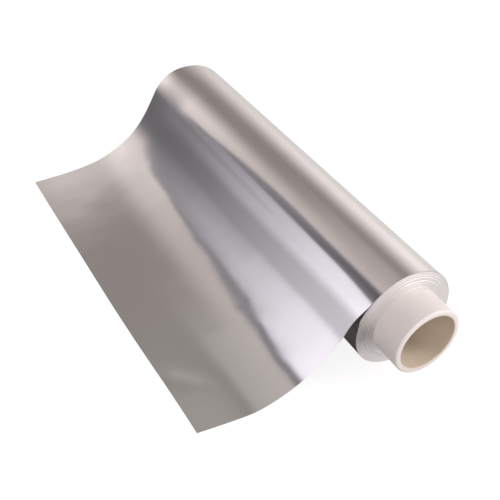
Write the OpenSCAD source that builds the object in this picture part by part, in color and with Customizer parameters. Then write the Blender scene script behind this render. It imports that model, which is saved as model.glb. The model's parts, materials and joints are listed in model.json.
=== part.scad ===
// Roll of aluminium foil with its first length drawn out over a table.
// X runs along the roll and +X points to the end where the core stands out further.
// The sheet is drawn out towards -Y, and the table is the plane z = 0.
// The origin is the middle of the flat spot on which the winding rests.

/* [Core] */
// Diameter of the bore that a spindle goes into
core_bore_d = 40; // [30:0.5:50]
// Wall of the core tube
core_wall = 4; // [1.5:0.25:6]
// How far the core stands out of the winding at the near end
core_near_l = 24; // [4:1:40]
// How far the core stands out of the winding at the far end
core_far_l = 12; // [4:1:40]
// Rounding of the outer edge at both ends of the core
core_edge_r = 1.4; // [0.3:0.1:1.4]

/* [Winding] */
// Width of the foil
foil_w = 300; // [200:5:450]
// Thickness of the wound turns, from the innermost to the outermost
winding_t = 11.45; // [5:0.05:30]
// Play between the core and the innermost turn
core_play = 0.05; // [0:0.01:0.3]
// How far the outermost turns wander past the foil's width at each end
turn_wander = 0.25; // [0.1:0.05:1]
// How far the innermost turns are shifted towards the near end
telescope = 1.9; // [0:0.1:4]
// Bands of turns that show on each end face
turn_bands = 9; // [3:1:16]
// Step from one band of turns to the next
turn_step = 0.3; // [0.1:0.05:0.8]
// Width of the flat spot that the roll's weight presses into its underside
flat_spot_w = 8; // [3:0.5:14]

/* [Drawn sheet] */
// Thickness of the drawn sheet
sheet_t = 0.3; // [0.2:0.05:0.8]
// Slope at which the sheet leaves the winding at its far edge, in degrees
far_slope = 57; // [45:0.5:70]
// Slope at which the sheet leaves the winding at its near edge, in degrees
near_slope = 50; // [45:0.5:70]
// Length of sheet that lies level past the place where the fall of its far edge ends
laid_l = 19.5; // [5:0.5:150]
// How far the far edge stands off the table
far_lift = 1.6; // [0:0.1:3]
// How far the wrinkles draw the near edge in
near_inset = 3.5; // [0:0.5:6]
// Angle at which the near corner curls up off the table, in degrees
corner_curl = 14; // [0:1:25]
// How far the curled corner reaches in from the near edge and the free edge
curl_reach = 90; // [20:5:100]
// Height of the soft waves in the sheet
wave_h = 0.8; // [0:0.1:2]
// Length of one soft wave, across the sheet
wave_l = 110; // [60:5:200]

/* [Hidden] */

// Smoothness of the turned shapes
$fn = 96;

// Sizes of the core
core_bore_r = core_bore_d / 2;
core_r = core_bore_r + core_wall;
bore_edge_r = core_edge_r / 2;

// Sizes of the winding
winding_bore_r = core_r + core_play;
winding_r = winding_bore_r + winding_t;
winding_half_l = foil_w / 2 + turn_wander;
axis_h = sqrt(pow(winding_r, 2) - pow(flat_spot_w / 2, 2));
flat_cut = 10;

// Ends of the core along X, measured from the winding's rims
core_near_x = winding_half_l + core_near_l;
core_far_x = -winding_half_l - core_far_l;

// Stations on the sheet: along it from the winding to the free edge, and across it
RUN = 40;
ACROSS = 14;
// The sheet's root starts this many degrees back round the winding, under its skin
root_back = 8;
root_depth = 1;
// The skin of the sheet stands this far above the winding where it leaves
skin_rise = 0.05;

// 0 below the span from a to b, 1 above it, with a soft change between
function ease(v, a, b) =
    let (u = min(1, max(0, (v - a) / (b - a))))
    u * u * (3 - 2 * u);

// Share of the way across the sheet, 0 at its far edge and 1 at its near edge
function across(x) = (x + foil_w / 2) / foil_w;

// Share of the near edge's form in the sheet, at a place across it
function near_share(x) = ease(across(x), 0.6, 1);

// Slope at which the sheet leaves the winding, at a place across it
function leave_slope(x) = far_slope + (near_slope - far_slope) * near_share(x);

// Place on the winding's skin that faces the given slope
function skin_point(slope, r) = [-r * sin(slope), axis_h + r * cos(slope)];

// Fall of each edge: slope as a share of the leaving slope, at shares of the fall's length
far_fall = [
    [0, 1], [0.1, 0.98], [0.21, 0.95], [0.3, 0.82], [0.37, 0.71], [0.45, 0.58], [0.52, 0.47],
    [0.6, 0.4], [0.69, 0.27], [0.77, 0.16], [0.86, 0.1], [0.96, 0.03], [1, 0]
];
near_fall = [
    [0, 1], [0.02, 0.72], [0.06, 0.8], [0.1, 0.98], [0.15, 1.14], [0.2, 1.24], [0.26, 1.26],
    [0.3, 1.08], [0.34, 0.88], [0.43, 0.82], [0.52, 0.75], [0.61, 0.66], [0.7, 0.51], [0.78, 0.4],
    [0.87, 0.31], [0.93, 0.14], [1, 0]
];
function fall_slope(x, u) =
    let (share = near_share(x))
    leave_slope(x) * ((1 - share) * lookup(u, far_fall) + share * lookup(u, near_fall));

// Mean sine of the slope over the fall
FALL_STEPS = 60;
function fall_sines(x) = [for (i = [0.5:1:FALL_STEPS]) sin(fall_slope(x, i / FALL_STEPS))];
function total(list) = list * [for (item = list) 1];
function mean_sine(x) = total(fall_sines(x)) / FALL_STEPS;

// Length of sheet that hangs between the winding and the table
function fall_l(x) =
    (skin_point(leave_slope(x), winding_r)[1] + skin_rise - sheet_t) / mean_sine(x);

// Length of sheet from the winding to the free edge, where the free edge is cut straight
function drawn_l(x) =
    fall_l(-foil_w / 2) + laid_l + winding_r * (far_slope - leave_slope(x)) * PI / 180;

// Slope of the sheet at a distance from the winding, less the curl of its near corner
function sheet_slope(x, s, fall, whole) =
    fall_slope(x, s / fall)
        - corner_curl * ease(x, foil_w / 2 - curl_reach, foil_w / 2) * ease(s, whole - curl_reach, whole);

// Lift of the far edge off the table
function edge_lift(x, s) =
    far_lift * ease(-x, foil_w * 0.3, foil_w / 2) * ease(s, foil_w * 0.2, foil_w * 0.37);

// Lift of the soft waves, which fade out towards the winding
function wave(x, s, whole) =
    wave_h / 2 * (1 - cos(360 * (x + s / 2) / wave_l)) * ease(s, 0, whole * 0.8);

// Side view of the sheet's upper skin at a place across it, from its root to its free edge
function skin_path(x) =
    let (slope = leave_slope(x), fall = fall_l(x), whole = drawn_l(x), ds = whole / RUN)
    let (start = skin_point(slope, winding_r + skin_rise))
    concat(
        [concat(skin_point(slope - root_back, winding_r - root_depth), [slope - root_back])],
        [for (
            i = 0, y = start[0], z = start[1];
            i <= RUN;
            i = i + 1,
            y = y - ds * cos(sheet_slope(x, (i - 0.5) * ds, fall, whole)),
            z = z - ds * sin(sheet_slope(x, (i - 0.5) * ds, fall, whole))
        ) [
            y,
            max(z, sheet_t) + wave(x, i * ds, whole) + edge_lift(x, i * ds),
            sheet_slope(x, i * ds, fall, whole)
        ]]
    );

// Place of a station across the sheet, with the near edge drawn in away from the winding
function station_x(j) = -foil_w / 2 + foil_w * j / ACROSS;
function inset(x, i) = near_inset * ease(x, 0, foil_w / 2) * ease(i, 1, RUN * 0.2);

// One skin of the sheet, moved square to itself towards the winding by the given depth
function skin(depth) = [
    for (j = [0:ACROSS])
        let (x = station_x(j), path = skin_path(x))
        for (i = [0:RUN + 1])
            [
                x - inset(x, i),
                path[i][0] + depth * sin(path[i][2]),
                path[i][1] - depth * cos(path[i][2])
            ]
];

// Numbers of the sheet's points: layer 0 is the upper skin and layer 1 the lower one
COLUMN = RUN + 2;
function at(layer, j, i) = (layer * (ACROSS + 1) + j) * COLUMN + i;
function two_triangles(a, b, c, d) = [[a, b, c], [a, c, d]];

// Share of the winding's thickness at which a band of turns starts, unevenly spaced
function band_share(k) = k <= 0 ? 0 : k >= turn_bands ? 1 : (k + 0.3 * sin(137 * k)) / turn_bands;
function band_r(k) = winding_bore_r + winding_t * band_share(k);

// Place along X of an end face, where side is 1 at the near end and -1 at the far end
function face_x(side, k, step) =
    side * winding_half_l + telescope * (1 - band_share(k)) + side * step * turn_step / 2;

// Outline of one end face from the innermost turn to the outermost, one sloped step a band
function face_steps(side) = [
    for (k = [0:turn_bands - 1])
        each [
            [band_r(k), face_x(side, k, k == 0 ? 0 : 1)],
            [band_r(k + 1), face_x(side, k + 1, k == turn_bands - 1 ? 0 : -1)]
        ]
];

function reversed(list) = [for (i = [len(list) - 1:-1:0]) list[i]];

// Quarter of a rounded edge, as points round its centre
function corner(centre, r, from) = [
    for (a = [0:15:90]) centre + r * [cos(from + a), sin(from + a)]
];

module core_section() {
    polygon(concat(
        corner([core_r - core_edge_r, core_near_x - core_edge_r], core_edge_r, 0),
        corner([core_bore_r + bore_edge_r, core_near_x - bore_edge_r], bore_edge_r, 90),
        corner([core_bore_r + bore_edge_r, core_far_x + bore_edge_r], bore_edge_r, 180),
        corner([core_r - core_edge_r, core_far_x + core_edge_r], core_edge_r, 270)
    ));
}

// Turns a section drawn with its radius along x and the roll's length along y
module turned_on_axis() {
    translate([0, 0, axis_h])
        rotate([0, 90, 0])
            rotate_extrude()
                children();
}

module winding() {
    difference() {
        turned_on_axis()
            polygon(concat(reversed(face_steps(-1)), face_steps(1)));
        translate([-foil_w, -winding_r, -flat_cut])
            cube([2 * foil_w, 2 * winding_r, flat_cut]);
    }
}

module drawn_sheet() {
    last = RUN + 1;
    polyhedron(
        points = concat(skin(0), skin(sheet_t)),
        faces = concat(
            [for (j = [0:ACROSS - 1], i = [0:RUN])
                each two_triangles(at(0, j, i), at(0, j + 1, i), at(0, j + 1, i + 1), at(0, j, i + 1))],
            [for (j = [0:ACROSS - 1], i = [0:RUN])
                each two_triangles(at(1, j, i + 1), at(1, j + 1, i + 1), at(1, j + 1, i), at(1, j, i))],
            [for (i = [0:RUN])
                each two_triangles(at(0, ACROSS, i + 1), at(0, ACROSS, i), at(1, ACROSS, i), at(1, ACROSS, i + 1))],
            [for (i = [0:RUN])
                each two_triangles(at(0, 0, i), at(0, 0, i + 1), at(1, 0, i + 1), at(1, 0, i))],
            [for (j = [0:ACROSS - 1])
                each two_triangles(at(0, j + 1, 0), at(0, j, 0), at(1, j, 0), at(1, j + 1, 0))],
            [for (j = [0:ACROSS - 1])
                each two_triangles(at(0, j, last), at(0, j + 1, last), at(1, j + 1, last), at(1, j, last))]
        )
    );
}

module core() {
    color("mistyrose")
        turned_on_axis()
            core_section();
}

module foil() {
    color("silver")
        union() {
            winding();
            drawn_sheet();
        }
}

core();
foil();
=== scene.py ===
"""Aluminium foil roll: the wound foil, its drawn sheet and its core tube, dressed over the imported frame.

X runs along the roll and +X is the end where the core stands out further. The sheet is drawn
out towards -Y over a table at z = 0. All sizes are in metres and all angles in radians.
"""

from __future__ import annotations

import json
import logging
import math
from collections.abc import Callable, Sequence
from dataclasses import dataclass
from enum import Enum

import bpy
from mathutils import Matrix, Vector

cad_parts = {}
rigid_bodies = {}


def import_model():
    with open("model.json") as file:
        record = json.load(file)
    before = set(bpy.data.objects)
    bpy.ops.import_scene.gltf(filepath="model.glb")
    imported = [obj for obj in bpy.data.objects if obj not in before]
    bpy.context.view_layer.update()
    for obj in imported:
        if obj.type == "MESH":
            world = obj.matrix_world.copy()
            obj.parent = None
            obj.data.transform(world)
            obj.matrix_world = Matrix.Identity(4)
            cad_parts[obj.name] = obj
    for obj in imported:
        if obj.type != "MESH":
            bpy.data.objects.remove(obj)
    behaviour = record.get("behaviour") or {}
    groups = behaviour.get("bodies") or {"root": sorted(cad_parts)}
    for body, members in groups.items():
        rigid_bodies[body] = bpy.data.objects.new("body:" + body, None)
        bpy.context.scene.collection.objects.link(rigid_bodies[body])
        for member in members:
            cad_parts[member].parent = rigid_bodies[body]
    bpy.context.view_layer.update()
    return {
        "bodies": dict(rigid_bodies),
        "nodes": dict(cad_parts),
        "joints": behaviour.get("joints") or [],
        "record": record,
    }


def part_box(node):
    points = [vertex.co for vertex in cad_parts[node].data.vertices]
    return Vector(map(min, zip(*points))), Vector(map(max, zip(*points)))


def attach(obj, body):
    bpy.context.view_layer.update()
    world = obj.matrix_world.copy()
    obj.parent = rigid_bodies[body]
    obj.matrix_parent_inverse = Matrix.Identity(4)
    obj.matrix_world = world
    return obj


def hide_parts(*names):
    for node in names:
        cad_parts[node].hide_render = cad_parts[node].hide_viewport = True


LOG = logging.getLogger("foil_roll")

MM = 0.001
BODY = "root"

Triple = tuple[float, float, float]
Pair = tuple[float, float]
Face = tuple[int, ...]
Feeds = dict[str | int, object]
Socket = bpy.types.NodeSocket
Node = bpy.types.Node
Material = bpy.types.Material
Object = bpy.types.Object
Tree = bpy.types.NodeTree

BLACK: Triple = (0.0, 0.0, 0.0)
WHITE: Triple = (1.0, 1.0, 1.0)


class Slot(Enum):
    """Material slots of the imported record."""

    FOIL = "foil"
    CORE_TUBE = "core_tube"


def put(name: str, data: bpy.types.ID) -> Object:
    """Puts a mesh, a lamp or a camera into the scene.

    Args:
        name: The object's name.
        data: What it shows.

    Returns:
        The object.
    """
    made = bpy.data.objects.new(name, data)
    bpy.context.scene.collection.objects.link(made)
    return made


def panels(name: str, points: Sequence[Triple], faces: Sequence[Face], material: Material) -> Object:
    """Makes an object of plain faces and puts it into the scene.

    Args:
        name: The object's name.
        points: Its points.
        faces: The points of each face, in order.
        material: Its material.

    Returns:
        The object.
    """
    mesh = bpy.data.meshes.new(name)
    mesh.from_pydata(points, [], faces)
    mesh.materials.append(material)
    return put(name, mesh)


def arithmetic(operation: str, turned: bool = False) -> Callable[[Term, Value], Term]:
    """Makes a method that does arithmetic on a term and another value.

    Args:
        operation: The maths node's operation.
        turned: Whether the other value comes first.

    Returns:
        The method.
    """

    def method(self: Term, other: Value) -> Term:
        """Adds the maths node."""
        return self.plan.maths(operation, *((other, self) if turned else (self, other)))

    return method


class Term:
    """A value in a node tree. Arithmetic on it adds the nodes that work the result out."""

    __add__ = arithmetic("ADD")
    __radd__ = arithmetic("ADD", turned=True)
    __sub__ = arithmetic("SUBTRACT")
    __rsub__ = arithmetic("SUBTRACT", turned=True)
    __mul__ = arithmetic("MULTIPLY")
    __rmul__ = arithmetic("MULTIPLY", turned=True)
    __truediv__ = arithmetic("DIVIDE")

    def __init__(self, plan: NodePlan, socket: Socket) -> None:
        """Keeps the tree and the output socket that carries the value."""
        self.plan = plan
        self.socket = socket

    def __neg__(self) -> Term:
        """This value with its sign changed."""
        return self.plan.maths("SUBTRACT", 0.0, self)


Value = Term | float


class NodePlan:
    """Writes formulas into a geometry, shader or world node tree."""

    def __init__(self, tree: Tree) -> None:
        """Keeps the tree that the nodes go into."""
        self.tree = tree

    def node(self, kind: str, feeds: Feeds | None = None, **settings: object) -> Node:
        """Adds a node.

        Args:
            kind: The node's type name.
            feeds: What goes into its inputs, by their names or numbers.
            **settings: Attributes of the node, which are set first.

        Returns:
            The new node.
        """
        made = self.tree.nodes.new(kind)
        for name, value in settings.items():
            setattr(made, name, value)
        for name, value in (feeds or {}).items():
            self.feed(made.inputs[name], value)
        return made

    def term(
        self, kind: str, feeds: Feeds | None = None, output: str | int = 0, **settings: object
    ) -> Term:
        """Adds a node and takes one of its outputs, by its name or number."""
        return Term(self, self.node(kind, feeds, **settings).outputs[output])

    def feed(self, socket: Socket, value: object) -> None:
        """Links a term to an input socket, or sets a plain value on it.

        Args:
            socket: The input socket.
            value: A term, a socket, a plain value, or a colour of three parts.
        """
        if isinstance(value, Term):
            value = value.socket
        if isinstance(value, Socket):
            self.tree.links.new(value, socket)
        elif socket.type == "RGBA":
            socket.default_value = (*value, 1.0)
        else:
            socket.default_value = value

    def maths(self, operation: str, *values: Value) -> Term:
        """Adds one maths node, with its inputs in order."""
        return self.term("ShaderNodeMath", dict(enumerate(values)), operation=operation)

    def share(self, value: Value, low: Value, high: Value, change: str = "LINEAR") -> Term:
        """How far the value lies between low and high, held within 0 and 1."""
        feeds = {"Value": value, "From Min": low, "From Max": high}
        return self.term("ShaderNodeMapRange", feeds, "Result", interpolation_type=change)

    def ease(self, value: Value, low: Value, high: Value) -> Term:
        """0 where the value is under low and 1 where it is over high, with a soft change between."""
        return self.share(value, low, high, "SMOOTHSTEP")

    def drop(self, value: Value, low: Value, high: Value) -> Term:
        """1 where the value is under low and 0 where it is over high, with a soft change between."""
        return self.ease(-value, -high, -low)

    def blend(self, share: Value, start: Value, end: Value) -> Term:
        """The value that lies the given share of the way from start to end."""
        return start + share * (end - start)

    def curve(self, value: Value, points: tuple[Pair, ...]) -> Term:
        """Reads a smooth curve that runs through given points.

        Args:
            value: Where to read it, from 0 to 1.
            points: Pairs of place and height, both from 0 to 1, in order.

        Returns:
            The height of the curve.
        """
        made = self.node("ShaderNodeFloatCurve", {"Factor": 1.0, "Value": value})
        line = made.mapping.curves[0]
        line.points[0].location = points[0]
        line.points[-1].location = points[-1]
        for point in points[1:-1]:
            line.points.new(*point)
        made.mapping.update()
        return Term(self, made.outputs[0])

    def vector(self, x: Value, y: Value, z: Value) -> Term:
        """A vector from three values."""
        return self.term("ShaderNodeCombineXYZ", {0: x, 1: y, 2: z})

    def parts(self, vector: Term | Socket) -> tuple[Term, Term, Term]:
        """The three values of a vector."""
        made = self.node("ShaderNodeSeparateXYZ", {0: vector})
        return tuple(Term(self, socket) for socket in made.outputs)

    def noise(self, place: Term, scale: Value, detail: float = 2.0, roughness: float = 0.5) -> Term:
        """Soft noise from -1 to 1 at a place, whose scale is in cells a metre."""
        feeds = {"Vector": place, "Scale": scale, "Detail": detail, "Roughness": roughness}
        return self.term("ShaderNodeTexNoise", feeds, noise_dimensions="3D") * 2.0 - 1.0

    def tint(self, share: Value, start: Triple | Term, end: Triple | Term, blend: str = "MIX") -> Term:
        """The colour that lies the given share of the way from start to end."""
        feeds = {0: share, 6: start, 7: end}
        return self.term("ShaderNodeMix", feeds, 2, data_type="RGBA", blend_type=blend)

    def ray(self, kind: str) -> Term:
        """1 for rays of a kind and 0 for others."""
        return self.term("ShaderNodeLightPath", output=f"Is {kind} Ray")


class FormTree(NodePlan):
    """A geometry node tree with named inputs, which makes one piece."""

    def __init__(self, name: str, inputs: dict[str, float]) -> None:
        """Makes the tree with an input socket for each size.

        Args:
            name: The tree's name.
            inputs: The inputs' names and values.
        """
        super().__init__(bpy.data.node_groups.new(name, "GeometryNodeTree"))
        self.values = inputs
        for label in inputs:
            self.tree.interface.new_socket(label, in_out="INPUT", socket_type="NodeSocketFloat")
        self.tree.interface.new_socket("Geometry", in_out="OUTPUT", socket_type="NodeSocketGeometry")
        self.source = self.node("NodeGroupInput")

    def given(self, label: str) -> Term:
        """The value of a named input."""
        return Term(self, self.source.outputs[label])

    def grid(self, columns: int, rows: int) -> tuple[Socket, Term, Term]:
        """A grid of points whose two shares run from 0 to 1.

        Args:
            columns: Points along the first share.
            rows: Points along the second share.

        Returns:
            The grid, the first share and the second share.
        """
        feeds = {"Size X": 1.0, "Size Y": 1.0, "Vertices X": columns, "Vertices Y": rows}
        made = self.node("GeometryNodeMeshGrid", feeds)
        x, y, _ = self.parts(self.term("GeometryNodeInputPosition"))
        return made.outputs["Mesh"], x + 0.5, y + 0.5

    def run(self, step: Term, rows: int) -> Term:
        """Sum of a step over the points before each one in its column of the given rows."""
        column = self.maths("FLOOR", (self.term("GeometryNodeInputIndex") + 0.5) / float(rows))
        return self.term("GeometryNodeAccumulateField", {"Value": step, "Group ID": column}, "Trailing")

    def through(self, kind: str, mesh: Socket, feeds: Feeds | None = None, **settings: object) -> Socket:
        """Passes a mesh through a geometry node, which is named without its first part."""
        return self.node(f"GeometryNode{kind}", {0: mesh, **(feeds or {})}, **settings).outputs[0]

    def place(self, mesh: Socket, position: Term) -> Socket:
        """Moves the points of a mesh to a position."""
        return self.through("SetPosition", mesh, {"Position": position})

    def uv(self, mesh: Socket, along: Term, across: Term) -> Socket:
        """Stores a UV map in metres on a grid, before its points are moved."""
        feeds = {"Name": "UVMap", "Value": self.vector(along, across, 0.0)}
        return self.through("StoreNamedAttribute", mesh, feeds, data_type="FLOAT2", domain="CORNER")

    def flipped(self, mesh: Socket) -> Socket:
        """Turns the faces of a mesh over."""
        return self.through("FlipFaces", mesh)

    def joined(self, *meshes: Socket) -> Socket:
        """Joins meshes and welds the points where they meet.

        Args:
            *meshes: The meshes.

        Returns:
            The joined mesh.
        """
        made = self.node("GeometryNodeJoinGeometry")
        for mesh in meshes:
            self.tree.links.new(mesh, made.inputs[0])
        return self.through("MergeByDistance", made.outputs[0], {"Distance": 0.002 * MM})

    def _sharp_rims(self, mesh: Socket) -> Socket:
        """Keeps open edges and steep corners from being shaded round.

        Args:
            mesh: A mesh that is shaded smooth.

        Returns:
            The mesh with sharp rims.
        """
        steep = math.radians(50)
        angle = self.term("GeometryNodeInputMeshEdgeAngle", output="Unsigned Angle")
        corner = self.maths("GREATER_THAN", angle, steep)
        open_edge = self.maths("LESS_THAN", self.term("GeometryNodeInputMeshEdgeNeighbors"), 1.5)
        feeds = {"Selection": self.maths("MAXIMUM", corner, open_edge), "Shade Smooth": False}
        return self.through("SetShadeSmooth", mesh, feeds, domain="EDGE")

    def piece(self, name: str, mesh: Socket, material: Material) -> Object:
        """Ends the tree, runs it and turns its result into a plain mesh object.

        Args:
            name: The piece's name.
            mesh: The geometry that the tree ends in.
            material: The piece's material.

        Returns:
            The finished object, with no modifier.
        """
        shaded = self._sharp_rims(self.through("SetShadeSmooth", mesh))
        real = self.through("RealizeInstances", shaded)
        dressed = self.through("SetMaterial", real, {"Material": material})
        self.node("NodeGroupOutput", {"Geometry": dressed})

        host = put(name, bpy.data.meshes.new(f"{name}_seed"))
        modifier = host.modifiers.new("Form", "NODES")
        modifier.node_group = self.tree
        for item in self.tree.interface.items_tree:
            if item.in_out == "INPUT":
                modifier[item.identifier] = self.values[item.name]
        made = host.evaluated_get(bpy.context.evaluated_depsgraph_get())
        mesh_data = bpy.data.meshes.new_from_object(made)
        host.modifiers.clear()
        host.data = mesh_data
        mesh_data.name = name
        return host


@dataclass(frozen=True)
class RollSizes:
    """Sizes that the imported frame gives.

    Attributes:
        foil_w: Width of the foil.
        winding_r: Radius of the outermost turn.
        winding_bore_r: Radius of the innermost turn.
        telescope: How far the innermost turns are shifted towards the near end.
        axis_h: Height of the roll's axis over the table.
        core_r: Outside radius of the core.
        bore_r: Radius of the core's bore.
        core_far_x: The core's far end.
        core_near_x: The core's near end.
    """

    foil_w: float
    winding_r: float
    winding_bore_r: float
    telescope: float
    axis_h: float
    core_r: float
    bore_r: float
    core_far_x: float
    core_near_x: float

    @classmethod
    def from_frame(cls, frame: dict) -> RollSizes:
        """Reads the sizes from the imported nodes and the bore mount.


        Returns:
            The sizes.
        """
        turn_wander = 0.25 * MM
        core_play = 0.05 * MM
        core_low, core_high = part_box("core")
        foil_low, foil_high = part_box("foil")
        bore = next(mount for mount in frame["record"]["mounts"] if mount["name"] == "core_bore")
        axis_h = bore["pos_m"][2]
        core_r = (core_high[2] - core_low[2]) / 2
        return cls(
            foil_w=-2 * (foil_low[0] + turn_wander),
            winding_r=foil_high[2] - axis_h,
            winding_bore_r=core_r + core_play,
            telescope=foil_high[0] + foil_low[0],
            axis_h=axis_h,
            core_r=core_r,
            bore_r=bore["dims"]["r_mm"] * MM,
            core_far_x=core_low[0],
            core_near_x=core_high[0],
        )


class SurfaceEffects:
    """Node groups that more than one material uses."""

    def __init__(self) -> None:
        """Builds soft cloudy patches, and the fine lines that the rolling mill leaves along the strip."""
        self.mottle = self._group("soft_mottle", 4.0, 0.55, Scale=60.0, Stretch=1.0, Contrast=1.0)
        self.lines = self._group("rolling_lines", 3.0, 0.6, Scale=2500.0, Stretch=0.02, Contrast=1.0)

    @staticmethod
    def _group(name: str, detail: float, roughness: float, **inputs: float) -> Tree:
        """Builds a group that makes a mask of noise at a place, stretched along Y.

        Args:
            name: The group's name.
            detail: Octaves of finer noise.
            roughness: How strong the finer octaves are.
            **inputs: Its inputs' names and values.

        Returns:
            The group.
        """
        tree = bpy.data.node_groups.new(name, "ShaderNodeTree")
        tree.interface.new_socket("Place", in_out="INPUT", socket_type="NodeSocketVector")
        for label, value in inputs.items():
            socket = tree.interface.new_socket(label, in_out="INPUT", socket_type="NodeSocketFloat")
            socket.default_value = value
        tree.interface.new_socket("Mask", in_out="OUTPUT", socket_type="NodeSocketFloat")
        plan = NodePlan(tree)
        given = plan.node("NodeGroupInput").outputs
        scale, stretch, contrast = (Term(plan, given[label]) for label in inputs)
        x, y, z = plan.parts(given["Place"])
        cloud = plan.noise(plan.vector(x, y * stretch, z), scale, detail, roughness) * contrast
        plan.node("NodeGroupOutput", {"Mask": plan.share(cloud, -1.0, 1.0)})
        return tree


class Finish(NodePlan):
    """A material in the making."""

    def __init__(self, name: str) -> None:
        """Makes an empty material.

        Args:
            name: The material's name.
        """
        self.material = bpy.data.materials.new(name)
        self.material.use_nodes = True
        super().__init__(self.material.node_tree)
        self.tree.nodes.clear()

    def show(self, shader: Node) -> None:
        """Makes a shader the material's surface."""
        self.node("ShaderNodeOutputMaterial", {"Surface": shader.outputs[0]})

    def dressed(self, feeds: Feeds) -> Material:
        """The material, with a Principled shader that the given values feed."""
        self.show(self.node("ShaderNodeBsdfPrincipled", feeds))
        return self.material

    def object_place(self) -> Term:
        """Object coordinates."""
        return self.term("ShaderNodeTexCoord", output="Object")

    def strip_place(self) -> Term:
        """The piece's own UV map, in metres across and along the strip."""
        return self.term("ShaderNodeUVMap", uv_map="UVMap")

    def effect(self, group: Tree, place: Term, **values: float) -> Term:
        """Mask of a surface effect, read at a place."""
        return self.term("ShaderNodeGroup", {"Place": place, **values}, "Mask", node_tree=group)

    def seen(self, mirrored: float) -> Term:
        """1 to the camera, the mirrored share in reflections and through glass, and 0 to other rays."""
        reflected = self.maths("MAXIMUM", self.ray("Glossy"), self.ray("Transmission"))
        return self.maths("MAXIMUM", self.ray("Camera"), reflected * mirrored)

    def bump(self, height: Term, depth: float) -> Term:
        """Normal of a surface that is raised by a height mask times a depth."""
        return self.term("ShaderNodeBump", {"Strength": 1.0, "Distance": depth, "Height": height})


@dataclass(frozen=True)
class FoilFinish:
    """Satin rolled foil.

    Attributes:
        bright: Colour of the cleanest metal.
        dull: Colour of the dullest patches.
        reflection_tint: Painted reflection colour for the near part that lies flat. It is a shade more
            neutral and stands in for the colour that this part reflects.
        reflection_tint_x: Where that painted tint begins and is whole, across the sheet.
        reflection_tint_s: Where it begins and is whole, from the winding.
        sheen: Roughness of the cleanest metal and of the dullest patches.
        edge_tint: Colour that it takes on where it is seen at a grazing angle.
        line_depth: Depth of the rolling lines.
    """

    bright: Triple = (0.875, 0.857, 0.853)
    dull: Triple = (0.815, 0.793, 0.789)
    reflection_tint: Triple = (0.858, 0.868, 0.858)
    reflection_tint_x: Pair = (0.0, 80 * MM)
    reflection_tint_s: Pair = (60 * MM, 90 * MM)
    sheen: Pair = (0.13, 0.18)
    edge_tint: Triple = (0.80, 0.785, 0.78)
    line_depth: float = 0.0012 * MM

    def material(self, name: str, effects: SurfaceEffects) -> Material:
        """Builds the material.

        Args:
            name: The material's name.
            effects: The shared node groups.

        Returns:
            The material.
        """
        finish = Finish(name)
        strip = finish.strip_place()
        patches = finish.effect(effects.mottle, strip, Scale=26.0, Contrast=1.4)
        lines = finish.effect(effects.lines, strip)
        x, s, _ = finish.parts(strip)
        # Painted reflection colour: the near flat part is tinted a shade more neutral. This stands in for
        # the colour of what it reflects, not a colour that the foil has there.
        reflection_tint = finish.ease(x, *self.reflection_tint_x) * finish.ease(s, *self.reflection_tint_s)
        return finish.dressed(
            {
                "Base Color": finish.tint(reflection_tint, finish.tint(patches, self.bright, self.dull), self.reflection_tint),
                "Metallic": 1.0,
                "Specular Tint": self.edge_tint,
                "Roughness": finish.blend(patches, *self.sheen),
                "Normal": finish.bump(lines, self.line_depth),
            }
        )


@dataclass(frozen=True)
class TurnFinish:
    """The cut edges of the wound turns, which look matt and whitish.

    Attributes:
        bright: Colour of the highest turns.
        dull: Darker colour between the turns, which is painted shade where the turns' bump lies low.
        sheen: Least and greatest roughness of the edges.
        line_depth: Depth of the fine lines that the edges of the turns make.
    """

    bright: Triple = (0.935, 0.905, 0.90)
    dull: Triple = (0.75, 0.725, 0.715)
    sheen: Pair = (0.36, 0.48)
    line_depth: float = 0.03 * MM

    def material(self, name: str, effects: SurfaceEffects) -> Material:
        """Builds the material.

        Args:
            name: The material's name.
            effects: The shared node groups.

        Returns:
            The material.
        """
        finish = Finish(name)
        strip = finish.strip_place()
        turns = finish.effect(effects.lines, strip, Scale=2200.0, Stretch=0.01)
        patches = finish.effect(effects.mottle, finish.object_place(), Scale=90.0, Contrast=1.2)
        return finish.dressed(
            {
                # Painted shade: the colour darkens in the low lines between the turns, with the same mask
                # as the bump.
                "Base Color": finish.tint(turns, self.dull, self.bright),
                "Metallic": 0.9,
                "Roughness": finish.blend(patches, *self.sheen),
                "Normal": finish.bump(turns, self.line_depth),
            }
        )


@dataclass(frozen=True)
class CardFinish:
    """White-faced card tube with a cream bore.

    Attributes:
        face: Colour of the outside and the ends.
        face_worn: Colour of the outside where it is handled.
        bore: Colour of the bore.
        bore_dark: Colour of the darker fibres in the bore.
        sheen: Roughness of the cleanest and the most worn card.
        fibre_depth: Depth of the paper's fibres.
    """

    face: Triple = (0.87, 0.82, 0.808)
    face_worn: Triple = (0.815, 0.765, 0.752)
    bore: Triple = (0.73, 0.64, 0.53)
    bore_dark: Triple = (0.60, 0.505, 0.39)
    sheen: Pair = (0.42, 0.55)
    fibre_depth: float = 0.04 * MM

    def material(self, name: str, sizes: RollSizes, effects: SurfaceEffects) -> Material:
        """Builds the material.

        Args:
            name: The material's name.
            sizes: The roll's sizes, for the place of the bore.
            effects: The shared node groups.

        Returns:
            The material.
        """
        finish = Finish(name)
        place = finish.object_place()
        _, y, z = finish.parts(place)
        height = z - sizes.axis_h
        radius = finish.maths("SQRT", y * y + height * height)
        outside = finish.ease(radius, sizes.bore_r + 0.25 * MM, sizes.bore_r + 0.9 * MM)
        patches = finish.effect(effects.mottle, place, Scale=45.0, Contrast=1.3)
        fibres = finish.effect(effects.mottle, place, Scale=900.0)
        bore = finish.tint(fibres, self.bore, self.bore_dark)
        face = finish.tint(patches, self.face, self.face_worn)
        return finish.dressed(
            {
                "Base Color": finish.tint(outside, bore, face),
                "Roughness": finish.blend(patches, *self.sheen),
                "Normal": finish.bump(fibres, self.fibre_depth),
            }
        )


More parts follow.
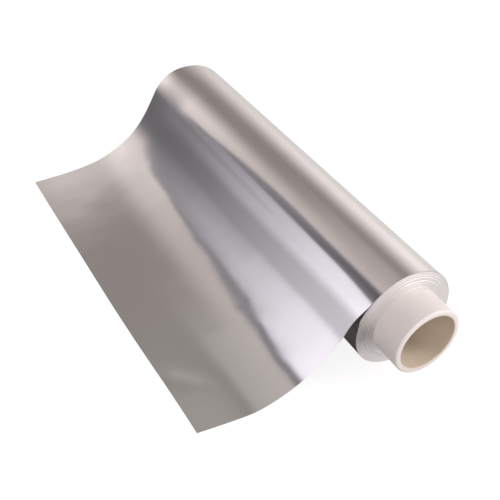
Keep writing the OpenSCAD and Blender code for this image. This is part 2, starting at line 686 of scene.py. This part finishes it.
@dataclass(frozen=True)
class Core:
    """The card tube that the foil is wound on.

    Attributes:
        sizes: The roll's sizes.
        edge_r: Rounding of the outer edges.
        bore_edge_r: Rounding of the bore's edges.
        segments: Faces round the tube.
        edge_steps: Faces round each rounded edge.
    """

    sizes: RollSizes
    edge_r: float = 1.4 * MM
    bore_edge_r: float = 0.7 * MM
    segments: int = 160
    edge_steps: int = 6

    def _corner(self, x: float, r: float, rounding: float, start: float) -> list[Pair]:
        """Points of a rounded edge of the wall, as places along the axis and radii."""
        angles = [start + math.pi / 2 / self.edge_steps * number for number in range(self.edge_steps + 1)]
        return [(x + rounding * math.cos(a), r + rounding * math.sin(a)) for a in angles]

    def _wall(self) -> list[Pair]:
        """Closed outline of the tube's wall.

        Returns:
            Its points, as places along the axis and radii.
        """
        sizes, edge, inner = self.sizes, self.edge_r, self.bore_edge_r
        near, far, quarter = sizes.core_near_x, sizes.core_far_x, math.pi / 2
        return (
            self._corner(near - edge, sizes.core_r - edge, edge, 0.0)
            + self._corner(far + edge, sizes.core_r - edge, edge, quarter)
            + self._corner(far + inner, sizes.bore_r + inner, inner, 2 * quarter)
            + self._corner(near - inner, sizes.bore_r + inner, inner, 3 * quarter)
        )

    def build(self, material: Material) -> Object:
        """Turns the wall's outline round the roll's axis.

        Args:
            material: The tube's material.

        Returns:
            The tube.
        """
        wall = self._wall()
        points, faces = [], []
        for turn in range(self.segments):
            angle = 2 * math.pi * turn / self.segments
            for x, r in wall:
                points.append((x, r * math.sin(angle), self.sizes.axis_h + r * math.cos(angle)))
        for turn in range(self.segments):
            here, after = turn * len(wall), (turn + 1) % self.segments * len(wall)
            for number in range(len(wall)):
                beyond = (number + 1) % len(wall)
                faces.append((here + number, here + beyond, after + beyond, after + number))
        tube = panels("core_tube", points, faces, material)
        tube.data.polygons.foreach_set("use_smooth", [True] * len(faces))
        return tube


@dataclass(frozen=True)
class Winding:
    """The wound turns, whose edges show on the end faces as one long spiral.

    Attributes:
        sizes: The roll's sizes.
        turns: Bundles of turns that show on an end face.
        groove: Depth of the grooves between bundles.
        wander: How far a bundle stands out or in.
        under: Depth of the winding's skin under the outermost turn.
        rim: Share of the winding's thickness over which the innermost and outermost turns are even.
        around: Points round the roll.
        per_turn: Points across one bundle.
    """

    sizes: RollSizes
    turns: int = 13
    groove: float = 0.07 * MM
    wander: float = 0.36 * MM
    under: float = 0.2 * MM
    rim: float = 0.04
    around: int = 193
    per_turn: int = 7

    def _inputs(self) -> dict[str, float]:
        """Names and values of the tree's inputs."""
        return {
            "Half Width": self.sizes.foil_w / 2,
            "Inner Radius": self.sizes.winding_bore_r,
            "Outer Radius": self.sizes.winding_r - self.under,
            "Axis Height": self.sizes.axis_h,
            "Telescope": self.sizes.telescope,
            "Turns": float(self.turns),
            "Groove": self.groove,
            "Wander": self.wander,
        }

    def _ring(self, tree: FormTree, x: Term, radius: Term, round_share: Term) -> Term:
        """Position on a ring round the roll's axis, held above the table.

        Args:
            tree: The winding's tree.
            x: Place along the roll.
            radius: The ring's radius.
            round_share: Share of the way round.

        Returns:
            The position.
        """
        angle = round_share * (2 * math.pi)
        y = radius * tree.maths("SINE", angle)
        z = tree.given("Axis Height") + radius * tree.maths("COSINE", angle)
        return tree.vector(x, y, tree.maths("MAXIMUM", z, self.under))

    def _end_face(self, tree: FormTree, side: float) -> Socket:
        """One end face, as a strip of points that follows the spiral of the turns.

        Args:
            tree: The winding's tree.
            side: 1 at the near end and -1 at the far end.

        Returns:
            The face's mesh.
        """
        rows = (self.turns + 1) * self.per_turn + 1
        mesh, round_share, out_share = tree.grid(self.around, rows)
        inner, outer, turns = (tree.given(name) for name in ("Inner Radius", "Outer Radius", "Turns"))
        count = out_share * (turns + 1.0) + round_share - 1.0
        share = tree.share(count, 0.0, turns)
        radius = inner + share * (outer - inner)
        between = tree.maths("POWER", tree.maths("COSINE", count * math.pi), 8.0)
        uneven = tree.noise(tree.vector(count, side * 3.0, 0.0), 0.9, 1.0)
        stand = uneven * tree.given("Wander") - between * tree.given("Groove")
        inward = 1.0 - share
        even = tree.ease(share, 0.0, self.rim) * tree.ease(inward, 0.0, self.rim)
        x = side * tree.given("Half Width") + tree.given("Telescope") * inward + side * stand * even
        mapped = tree.uv(mesh, radius, count * 0.1)
        placed = tree.place(mapped, self._ring(tree, x, radius, round_share))
        return placed if side > 0 else tree.flipped(placed)

    def _skin(self, tree: FormTree, name: str, telescope: float) -> Socket:
        """The plain skin between the two end faces.

        Args:
            tree: The winding's tree.
            name: Name of its radius.
            telescope: Share of the telescoping that shifts it.

        Returns:
            The skin's mesh.
        """
        mesh, round_share, along = tree.grid(self.around, 2)
        x = tree.given("Half Width") * (along * 2.0 - 1.0) + tree.given("Telescope") * telescope
        mapped = tree.uv(mesh, x, round_share * 0.2)
        return tree.place(mapped, self._ring(tree, x, tree.given(name), round_share))

    def build(self, material: Material) -> Object:
        """Builds the winding.

        Args:
            material: The material of the turns' edges.

        Returns:
            The winding.
        """
        tree = FormTree("wound_turns", self._inputs())
        mesh = tree.joined(
            self._end_face(tree, 1.0),
            self._end_face(tree, -1.0),
            tree.flipped(self._skin(tree, "Outer Radius", 0.0)),
            self._skin(tree, "Inner Radius", 1.0),
        )
        return tree.piece("foil_winding", mesh, material)


@dataclass(frozen=True)
class FallProfile:
    """Side view of the drawn sheet, as its slope at distances from the winding.

    Attributes:
        slopes: Pairs of distance in millimetres and slope in degrees, downhill positive.
        whole: Length of the drawn part in millimetres.
    """

    slopes: tuple[Pair, ...]
    whole: float

    LOWEST = -20.0
    SPAN = 90.0

    def points(self) -> tuple[Pair, ...]:
        """The same pairs as shares of the length and of the curve's span."""
        return tuple((s / self.whole, (slope - self.LOWEST) / self.SPAN) for s, slope in self.slopes)

    def leave(self) -> float:
        """Slope at which the sheet leaves the winding, in radians."""
        return math.radians(self.slopes[0][1])

    def slope(self, tree: NodePlan, share: Value) -> Term:
        """Slope at a share of the drawn length, in radians."""
        return (tree.curve(share, self.points()) * self.SPAN + self.LOWEST) * (math.pi / 180)


FAR_PROFILE = FallProfile(
    slopes=(
        (0, 57), (11, 56), (24, 54), (34, 47), (42, 40.5), (50, 33), (58, 26.5),
        (67, 22.5), (77, 15.5), (86, 9), (96, 5.5), (108, 1.5), (134, 0.5),
    ),
    whole=134.0,
)

NEAR_PROFILE = FallProfile(
    slopes=(
        (0, 49), (6, 50.5), (12, 56), (18, 61), (23, 61), (28, 54), (33, 45.5),
        (42, 41), (50, 37.5), (59, 33), (68, 25.5), (76, 20), (84, 15), (90, 11.5),
        (96, 5), (101, -2), (108, -6.5), (118, -8.4), (138, -9.6),
    ),
    whole=138.0,
)


@dataclass(frozen=True)
class Kink:
    """A small dent that handling leaves in the drawn length.

    Attributes:
        x: Place across the sheet.
        s: Distance from the winding.
        reach: How far it spreads.
        height: How high it stands.
    """

    x: float
    s: float
    reach: float
    height: float


KINKS = tuple(
    Kink(x, s, reach, height)
    for x, s, reach, height in (
        (-0.006, 0.050, 0.007, 0.00015),
        (0.070, 0.062, 0.006, 0.00010),
        (0.098, 0.060, 0.005, -0.00010),
        (0.126, 0.062, 0.007, 0.00014),
        (-0.040, 0.034, 0.011, 0.00010),
        (0.008, 0.030, 0.010, -0.00010),
        (0.046, 0.035, 0.011, 0.00011),
        (0.086, 0.031, 0.010, -0.00009),
        (0.104, 0.131, 0.008, 0.00040),
        (0.112, 0.122, 0.007, 0.00026),
        (0.119, 0.113, 0.006, 0.00012),
        (-0.102, 0.100, 0.012, 0.00018),
    )
)


@dataclass(frozen=True)
class Raised:
    """A part of the sheet that stands off near one of its edges.

    Attributes:
        height: How far it stands off.
        x: Where it begins and is whole, towards its edge.
        s: Where it begins and is whole, from the winding.
        end: Where it begins to fade and is gone, if it fades.
    """

    height: float
    x: Pair
    s: Pair
    end: Pair | None = None

    def over(self, tree: NodePlan, height: Term, x: Term, s: Term) -> Term:
        """Its height at a place towards its edge and at a distance from the winding."""
        fade = tree.drop(s, *self.end) if self.end else 1.0
        return height * tree.ease(x, *self.x) * (tree.ease(s, *self.s) * fade)


@dataclass(frozen=True)
class DrawnSheet:
    """The outermost turn and the length of foil that is drawn out from it over the table.

    Attributes:
        sizes: The roll's sizes.
        far: Side view at the far edge.
        near: Side view at the near edge.
        wrap: Angle that the outermost turn goes round the winding.
        near_inset: How far wrinkles draw the near edge in.
        inset_s: Where the near edge begins to draw in and is drawn in, from the winding.
        near_flare: How the near edge stands off where it leaves the winding.
        far_flare: How the far rim of the outermost turn stands off the winding.
        far_lift: How the far edge stands off the table.
        thickness: Thickness of the sheet.
        clearance: Least height of the drawn length over the table.
        landing: How softly it comes down on the table.
        wave_h: Height of the broad waves in the drawn length.
        wave_cells: Cells of noise a metre in the broad waves.
        wrinkle_h: Height of the small wrinkles in the drawn length.
        wrinkle_cells: Cells of noise a metre in the small wrinkles.
        kinks: Small dents in the drawn length.
        across: Points across the sheet.
        along: Points along the sheet.
    """

    sizes: RollSizes
    far: FallProfile = FAR_PROFILE
    near: FallProfile = NEAR_PROFILE
    wrap: float = math.radians(352)
    near_inset: float = 3.5 * MM
    inset_s: Pair = (-4 * MM, 24 * MM)
    near_flare: Raised = Raised(0.7 * MM, (110 * MM, 158 * MM), (-8 * MM, 10 * MM), (20 * MM, 90 * MM))
    far_flare: Raised = Raised(1.6 * MM, (104 * MM, 150 * MM), (-42 * MM, -14 * MM), (-16 * MM, 24 * MM))
    far_lift: Raised = Raised(0.4 * MM, (95 * MM, 150 * MM), (60 * MM, 105 * MM))
    thickness: float = 0.1 * MM
    clearance: float = 0.2 * MM
    landing: float = 1.2 * MM
    wave_h: float = 0.35 * MM
    wave_cells: float = 14.0
    wrinkle_h: float = 0.07 * MM
    wrinkle_cells: float = 60.0
    kinks: tuple[Kink, ...] = KINKS
    across: int = 161
    along: int = 241

    def strip_l(self) -> float:
        """Length of the strip at its far edge, from the start of the outermost turn to the free edge."""
        return self.sizes.winding_r * self.wrap + self.far.whole * MM

    def _inputs(self) -> dict[str, float]:
        """Names and values of the tree's inputs."""
        return {
            "Foil Width": self.sizes.foil_w,
            "Winding Radius": self.sizes.winding_r,
            "Axis Height": self.sizes.axis_h,
            "Wrap": self.wrap,
            "Far Slope": self.far.leave(),
            "Near Slope": self.near.leave(),
            "Far Length": self.far.whole * MM,
            "Near Length": self.near.whole * MM,
            "Near Inset": self.near_inset,
            "Near Flare": self.near_flare.height,
            "Far Flare": self.far_flare.height,
            "Far Lift": self.far_lift.height,
            "Thickness": self.thickness,
            "Wave Height": self.wave_h,
            "Wrinkle Height": self.wrinkle_h,
        }

    def _height(self, tree: FormTree, x: Term, s: Term, drawn: Term) -> Term:
        """Height of the sheet's waves, wrinkles and flared edges over its smooth form.

        Args:
            tree: The sheet's tree.
            x: Place across the sheet.
            s: Distance from the winding, negative on the outermost turn.
            drawn: Length of the drawn part.

        Returns:
            The height, square to the sheet.
        """
        grown = tree.ease(s, 0.0, drawn * 0.5)
        broad = tree.noise(tree.vector(x, s * 0.6, 0.0), self.wave_cells, 1.0)
        small = tree.noise(tree.vector(x, s * 0.5, 1.0), self.wrinkle_cells, 2.0)
        waves = grown * (broad * tree.given("Wave Height") + small * tree.given("Wrinkle Height"))
        near = self.near_flare.over(tree, tree.given("Near Flare"), x, s)
        total = waves + near + self.far_flare.over(tree, tree.given("Far Flare"), -x, s)
        for kink in self.kinks:
            off_x, off_s = (x - kink.x) / kink.reach, (s - kink.s) / kink.reach
            total = total + tree.maths("EXPONENT", -(off_x * off_x) - off_s * off_s) * kink.height
        return total

    def build(self, material: Material) -> Object:
        """Builds the strip.

        Args:
            material: The foil's material.

        Returns:
            The strip, with its thickness.
        """
        tree = FormTree("drawn_sheet", self._inputs())
        mesh, across, along = tree.grid(self.across, self.along)
        radius, half = tree.given("Winding Radius"), tree.given("Foil Width") * 0.5
        wrap = tree.given("Wrap")
        twist = tree.ease(across, 0.5, 1.0)
        leave = tree.blend(twist, tree.given("Far Slope"), tree.given("Near Slope"))
        drawn = tree.blend(twist, tree.given("Far Length"), tree.given("Near Length"))
        whole = drawn + radius * wrap
        step = whole / float(self.along - 1)
        s = along * whole - radius * wrap
        flat_x = (across * 2.0 - 1.0) * half
        root_twist = tree.ease(across, 0.0, 0.5)

        def slope(place: Term) -> Term:
            """Slope of the sheet.

            Args:
                place: Distance from the winding.

            Returns:
                The slope, in radians.
            """
            share = tree.share(place, 0.0, drawn)
            mixed = tree.blend(tree.ease(place, 20 * MM, 36 * MM), root_twist, twist)
            fallen = tree.blend(mixed, self.far.slope(tree, share), self.near.slope(tree, share))
            begun = tree.ease(place, 0.0, 4 * MM)
            return tree.blend(begun, leave, fallen) + tree.maths("MINIMUM", place, 0.0) / radius

        middle = slope(s + step * 0.5)
        start = leave - wrap
        sines = tree.run(step * tree.maths("SINE", middle), self.along)
        cosines = tree.run(step * tree.maths("COSINE", middle), self.along)
        y = -(radius * tree.maths("SINE", start)) - cosines
        z = tree.given("Axis Height") + radius * tree.maths("COSINE", start) - sines
        inset = tree.given("Near Inset") * tree.ease(flat_x, 0.0, half) * tree.ease(s, *self.inset_s)
        height, here = self._height(tree, flat_x, s, drawn), slope(s)
        lift = self.far_lift.over(tree, tree.given("Far Lift"), -flat_x, s)
        raised = z + height * tree.maths("COSINE", here)
        floor = tree.given("Thickness")
        landed = tree.maths("SMOOTH_MAX", raised, floor + self.clearance, self.landing)
        wound = tree.maths("MAXIMUM", raised, floor)
        position = tree.vector(
            flat_x - inset,
            y - height * tree.maths("SINE", here),
            tree.blend(tree.ease(s, -40 * MM, -30 * MM), wound, landed) + lift,
        )
        placed = tree.place(tree.uv(mesh, flat_x, s), position)
        sheet = tree.piece("foil_sheet", tree.flipped(placed), material)
        wall = sheet.modifiers.new("Thickness", "SOLIDIFY")
        wall.thickness = self.thickness
        wall.offset = -1.0
        return sheet


class Card(Finish):
    """A flat studio card that only shows in reflections."""

    def __init__(
        self, name: str, corners: Sequence[Triple], panes: Sequence[Face] = ((0, 1, 2, 3),)
    ) -> None:
        """Makes the card and an empty material for it.

        Args:
            name: The card's name.
            corners: Its corners.
            panes: The corners of each flat part, in order.
        """
        super().__init__(name)
        self.panel = panels(name, corners, panes, self.material)
        for ray in ("camera", "diffuse", "shadow", "transmission"):
            setattr(self.panel, f"visible_{ray}", False)

    def shine(self, colour: Triple, strength: Value, cover: Value) -> None:
        """Gives the card its light.

        Args:
            colour: Colour of the light.
            strength: Strength of the light.
            cover: How far the card hides what is behind it, from 0 to 1.
        """
        light = self.node("ShaderNodeEmission", {"Color": colour, "Strength": strength})
        clear = self.node("ShaderNodeBsdfTransparent", {"Color": self.tint(cover, WHITE, BLACK)})
        self.show(self.node("ShaderNodeAddShader", {0: light.outputs[0], 1: clear.outputs[0]}))


@dataclass(frozen=True)
class Studio:
    """Camera, floor and soft light.

    Attributes:
        sizes: The roll's sizes.
        azimuth: Camera's bearing round the object, 0 along +Y and 90 along -X.
        elevation: Camera's height over the horizon.
        eye: Camera's place.
        lens: Focal length for a frame 36 mm wide, in millimetres.
        key_place: Place of the key lamp.
        key_power: Power of the key lamp, in watts.
        fill_place: Place of the fill lamp.
        fill_power: Power of the fill lamp, in watts.
        lamp_size: Width of both lamps' disks.
        lamp_colour: Colour of both lamps.
        floor_colour: Colour of the table top.
        floor_glow: Strength of its own glow, to which the lamps' light on it is added.
        floor_mirrored: Share of that glow in reflections.
    """

    sizes: RollSizes
    azimuth: float = math.radians(60.543)
    elevation: float = math.radians(40.168)
    eye: Triple = (0.41322, -0.25747, 0.39049)
    lens: float = 58.31
    key_place: Triple = (0.80, 0.78, 0.72)
    key_power: float = 6.6
    fill_place: Triple = (0.86, -0.44, 0.12)
    fill_power: float = 2.7
    lamp_size: float = 0.5
    lamp_colour: Triple = (1.0, 0.97, 0.96)
    floor_colour: Triple = (0.32, 0.315, 0.31)
    floor_glow: float = 0.84
    floor_mirrored: float = 0.75

    def build(self) -> None:
        """Builds the whole studio."""
        self._camera()
        self._floor()
        self._lamp("key_lamp", self.key_place, self.key_power)
        self._lamp("fill_lamp", self.fill_place, self.fill_power).visible_glossy = False
        self._surroundings()
        self._window_card()
        self._end_card()
        self._table_shade()
        bpy.context.scene.view_settings.view_transform = "Standard"

    def _camera(self) -> None:
        """Puts the camera where the photograph was taken from."""
        data = bpy.data.cameras.new("photo_camera")
        data.sensor_width = 36.0
        data.lens = self.lens
        data.clip_start = 0.01
        camera = put("photo_camera", data)
        camera.location = self.eye
        camera.rotation_euler = (math.pi / 2 - self.elevation, 0.0, self.azimuth)
        bpy.context.scene.camera = camera

    def _floor(self) -> None:
        """A pale table top, white to the camera, which keeps the object's shadow."""
        reach, drop = 4.0, 0.1 * MM
        corners = [(x * reach, y * reach, -drop) for x, y in ((-1, -1), (1, -1), (1, 1), (-1, 1))]
        finish = Finish("table_white")
        glow = finish.tint(finish.seen(self.floor_mirrored), BLACK, (self.floor_glow,) * 3)
        feeds = {"Base Color": self.floor_colour, "Emission Color": glow}
        material = finish.dressed({**feeds, "Roughness": 0.9, "Emission Strength": 1.0})
        floor = panels("table_top", corners, [(0, 1, 2, 3)], material)

    def _lamp(self, name: str, place: Triple, power: float) -> Object:
        """Hangs a broad soft lamp that looks at the near end of the roll.

        Args:
            name: The lamp's name.
            place: Where it hangs.
            power: Its power, in watts.

        Returns:
            The lamp.
        """
        data = bpy.data.lights.new(name, "AREA")
        data.shape = "DISK"
        data.size = self.lamp_size
        data.energy = power
        data.color = self.lamp_colour
        lamp = put(name, data)
        lamp.location = place
        aim = Vector((self.sizes.foil_w / 4, 0.0, self.sizes.axis_h)) - lamp.location
        lamp.rotation_euler = aim.to_track_quat("-Z", "Y").to_euler()
        return lamp

    def _window_card(self) -> None:
        """A low window past the free edge, brightest near the end, under a dark wall that leans away."""
        left, right, out, sill, head, lean = -0.45, 0.25, -0.157, 0.137, 0.57, 0.38
        far_out = out - lean * (head - sill)
        rows = ((out, 0.0), (out, sill), (far_out, head))
        corners = [(x, y, z) for y, z in rows for x in (left, right)]
        card = Card("window_card", corners, ((0, 1, 3, 2), (2, 3, 5, 4)))
        x, _, z = card.parts(card.object_place())
        top = 0.151 + card.ease(x, -0.24, -0.10) * 0.020
        blur = 0.002 + card.ease(x, -0.20, -0.10) * 0.018
        pane = card.ease(top - z, -0.002, blur)
        reach = card.share(x, -0.30, 0.05)
        bright = (0.265 + reach * reach * 0.91) * (0.58 + card.ease(z, 0.05, 0.105) * 0.42)
        pane_cover = card.maths("MAXIMUM", card.ease(x, -0.295, -0.265), card.drop(z, 0.06, 0.10))
        edge = 0.43 + card.ease(x, -0.27, -0.17) * 0.11
        wall_cover = card.ease(x + (z - sill) * 0.35, -0.265, -0.235) * card.ease(edge - z, -0.02, 0.03)
        cover = card.blend(pane, wall_cover, pane_cover)
        near_wall = 0.16 - card.ease(z, 0.22, 0.28) * 0.05 + card.ease(z, 0.36, 0.50) * 0.12
        wall = card.blend(card.ease(x, -0.20, -0.06), 0.23, near_wall)
        card.shine((0.955, 0.925, 1.0), card.blend(pane, wall, bright) * cover, cover)

    def _end_card(self) -> None:
        """A low pale card beyond the far end."""
        place, low, high, near, far = -0.38, 0.0, 0.27, -0.2, 0.1
        corners = ((place, near, low), (place, far, low), (place, far, high), (place, near, high))
        card = Card("end_card", corners)
        _, y, z = card.parts(card.object_place())
        across = (0.215 + card.ease(y, -0.13, -0.06) * 0.20) * card.ease(y, -0.175, -0.145)
        glow = card.share(0.265 - z, 0.0, 0.09) * across * card.drop(y, -0.03, 0.02)
        card.shine((1.0, 0.945, 0.925), glow, 0.0)

    def _table_shade(self) -> None:
        """Shade of the roll and its sheet on the table, as the foil's underside and end face see it."""
        west, east, south, north, height = -0.15, 0.30, -0.135, 0.20, -0.05 * MM
        plan = ((west, south), (east, south), (east, north), (west, north))
        card = Card("table_shade", [(x, y, height) for x, y in plan])
        x, y, _ = card.parts(card.object_place())
        under = card.drop(x, 0.140, 0.152) * card.drop(y, -0.028, 0.0)
        before = card.ease(x, 0.160, 0.176) * card.drop(x, 0.22, 0.30)
        behind = card.ease(y, 0.045, 0.060) * card.drop(y, 0.12, 0.2)
        beside = card.drop(y, 0.010, 0.036) * 0.9 + behind * 0.35
        cover = under * 0.95 + before * beside
        card.shine((1.0, 0.84, 0.80), cover * 0.035, cover)

    def _surroundings(self) -> None:
        """Soft light from a room that is pale behind the roll."""
        world = bpy.data.worlds.new("soft_room")
        world.use_nodes = True
        world.node_tree.nodes.clear()
        plan = NodePlan(world.node_tree)
        x, y, z = plan.parts(plan.term("ShaderNodeTexCoord", output="Generated"))
        tilt = plan.maths("ARCTAN2", -y, z) * (180 / math.pi)
        end = -x

        dim = plan.tint(plan.ease(tilt, 50.0, 80.0), (0.29, 0.26, 0.25), (0.212, 0.19, 0.20))
        reach = plan.share(x, -0.81, -0.66)
        rise = plan.ease(-tilt, 20.0 + reach * 7.0, 92.0 - reach * 14.0)
        back = rise * (0.61 + plan.share(x, -0.81, -0.56) * 0.17)
        far = plan.share(end, 0.66, 0.80)
        off_warm = plan.maths("ABSOLUTE", tilt - (28.0 + far * 11.0)) / (34.0 + far * 18.0)
        warm = plan.ease(1.0 - off_warm, 0.0, 1.0) * (0.30 + plan.ease(end, 0.70, 0.80) * 0.26)
        over = plan.ease(tilt, -30.0, -8.0) * plan.drop(tilt, -2.0, 22.0)
        near = plan.ease(x, -0.70, -0.59) * over * 0.16
        front = plan.ease(x, -0.4, 0.2) * 0.18
        level = plan.ease(tilt, 35.0, 55.0) * plan.drop(tilt, 70.0, 80.0)
        beyond = plan.ease(end, 0.74, 0.79) * level * 0.10

        total = dim
        for strength, colour in (
            (back, (1.0, 0.945, 0.935)),
            (warm, (1.0, 0.92, 0.905)),
            (near, (1.0, 0.945, 0.925)),
            (front, (1.0, 0.96, 0.95)),
            (beyond, (1.0, 0.96, 0.95)),
        ):
            total = plan.tint(1.0, total, plan.tint(strength, BLACK, colour), "ADD")

        seen = plan.maths("MAXIMUM", plan.ray("Camera"), plan.ray("Transmission"))
        background = plan.node("ShaderNodeBackground", {"Color": plan.tint(seen, total, WHITE)})
        plan.node("ShaderNodeOutputWorld", {"Surface": background.outputs[0]})
        bpy.context.scene.world = world


def mount(piece: Object, node: str, slot: Slot) -> None:
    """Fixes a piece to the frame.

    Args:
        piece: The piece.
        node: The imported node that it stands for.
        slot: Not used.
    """
    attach(piece, BODY)
    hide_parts(node)
    LOG.info("%s stands for %s, %d faces", piece.name, node, len(piece.data.polygons))


def main() -> None:
    """Builds the pieces in order."""
    logging.basicConfig(level=logging.INFO, format="%(name)s: %(message)s")
    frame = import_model()
    sizes = RollSizes.from_frame(frame)
    Studio(sizes).build()
    effects = SurfaceEffects()

    tube = Core(sizes).build(CardFinish().material("white_card", sizes, effects))
    mount(tube, "core", Slot.CORE_TUBE)

    winding = Winding(sizes).build(TurnFinish().material("foil_turn_edges", effects))
    mount(winding, "foil", Slot.FOIL)

    drawn = DrawnSheet(sizes)
    sheet = drawn.build(FoilFinish().material("satin_foil", effects))
    mount(sheet, "foil", Slot.FOIL)
    drawn.strip_l()


if __name__ == "__main__":
    main()
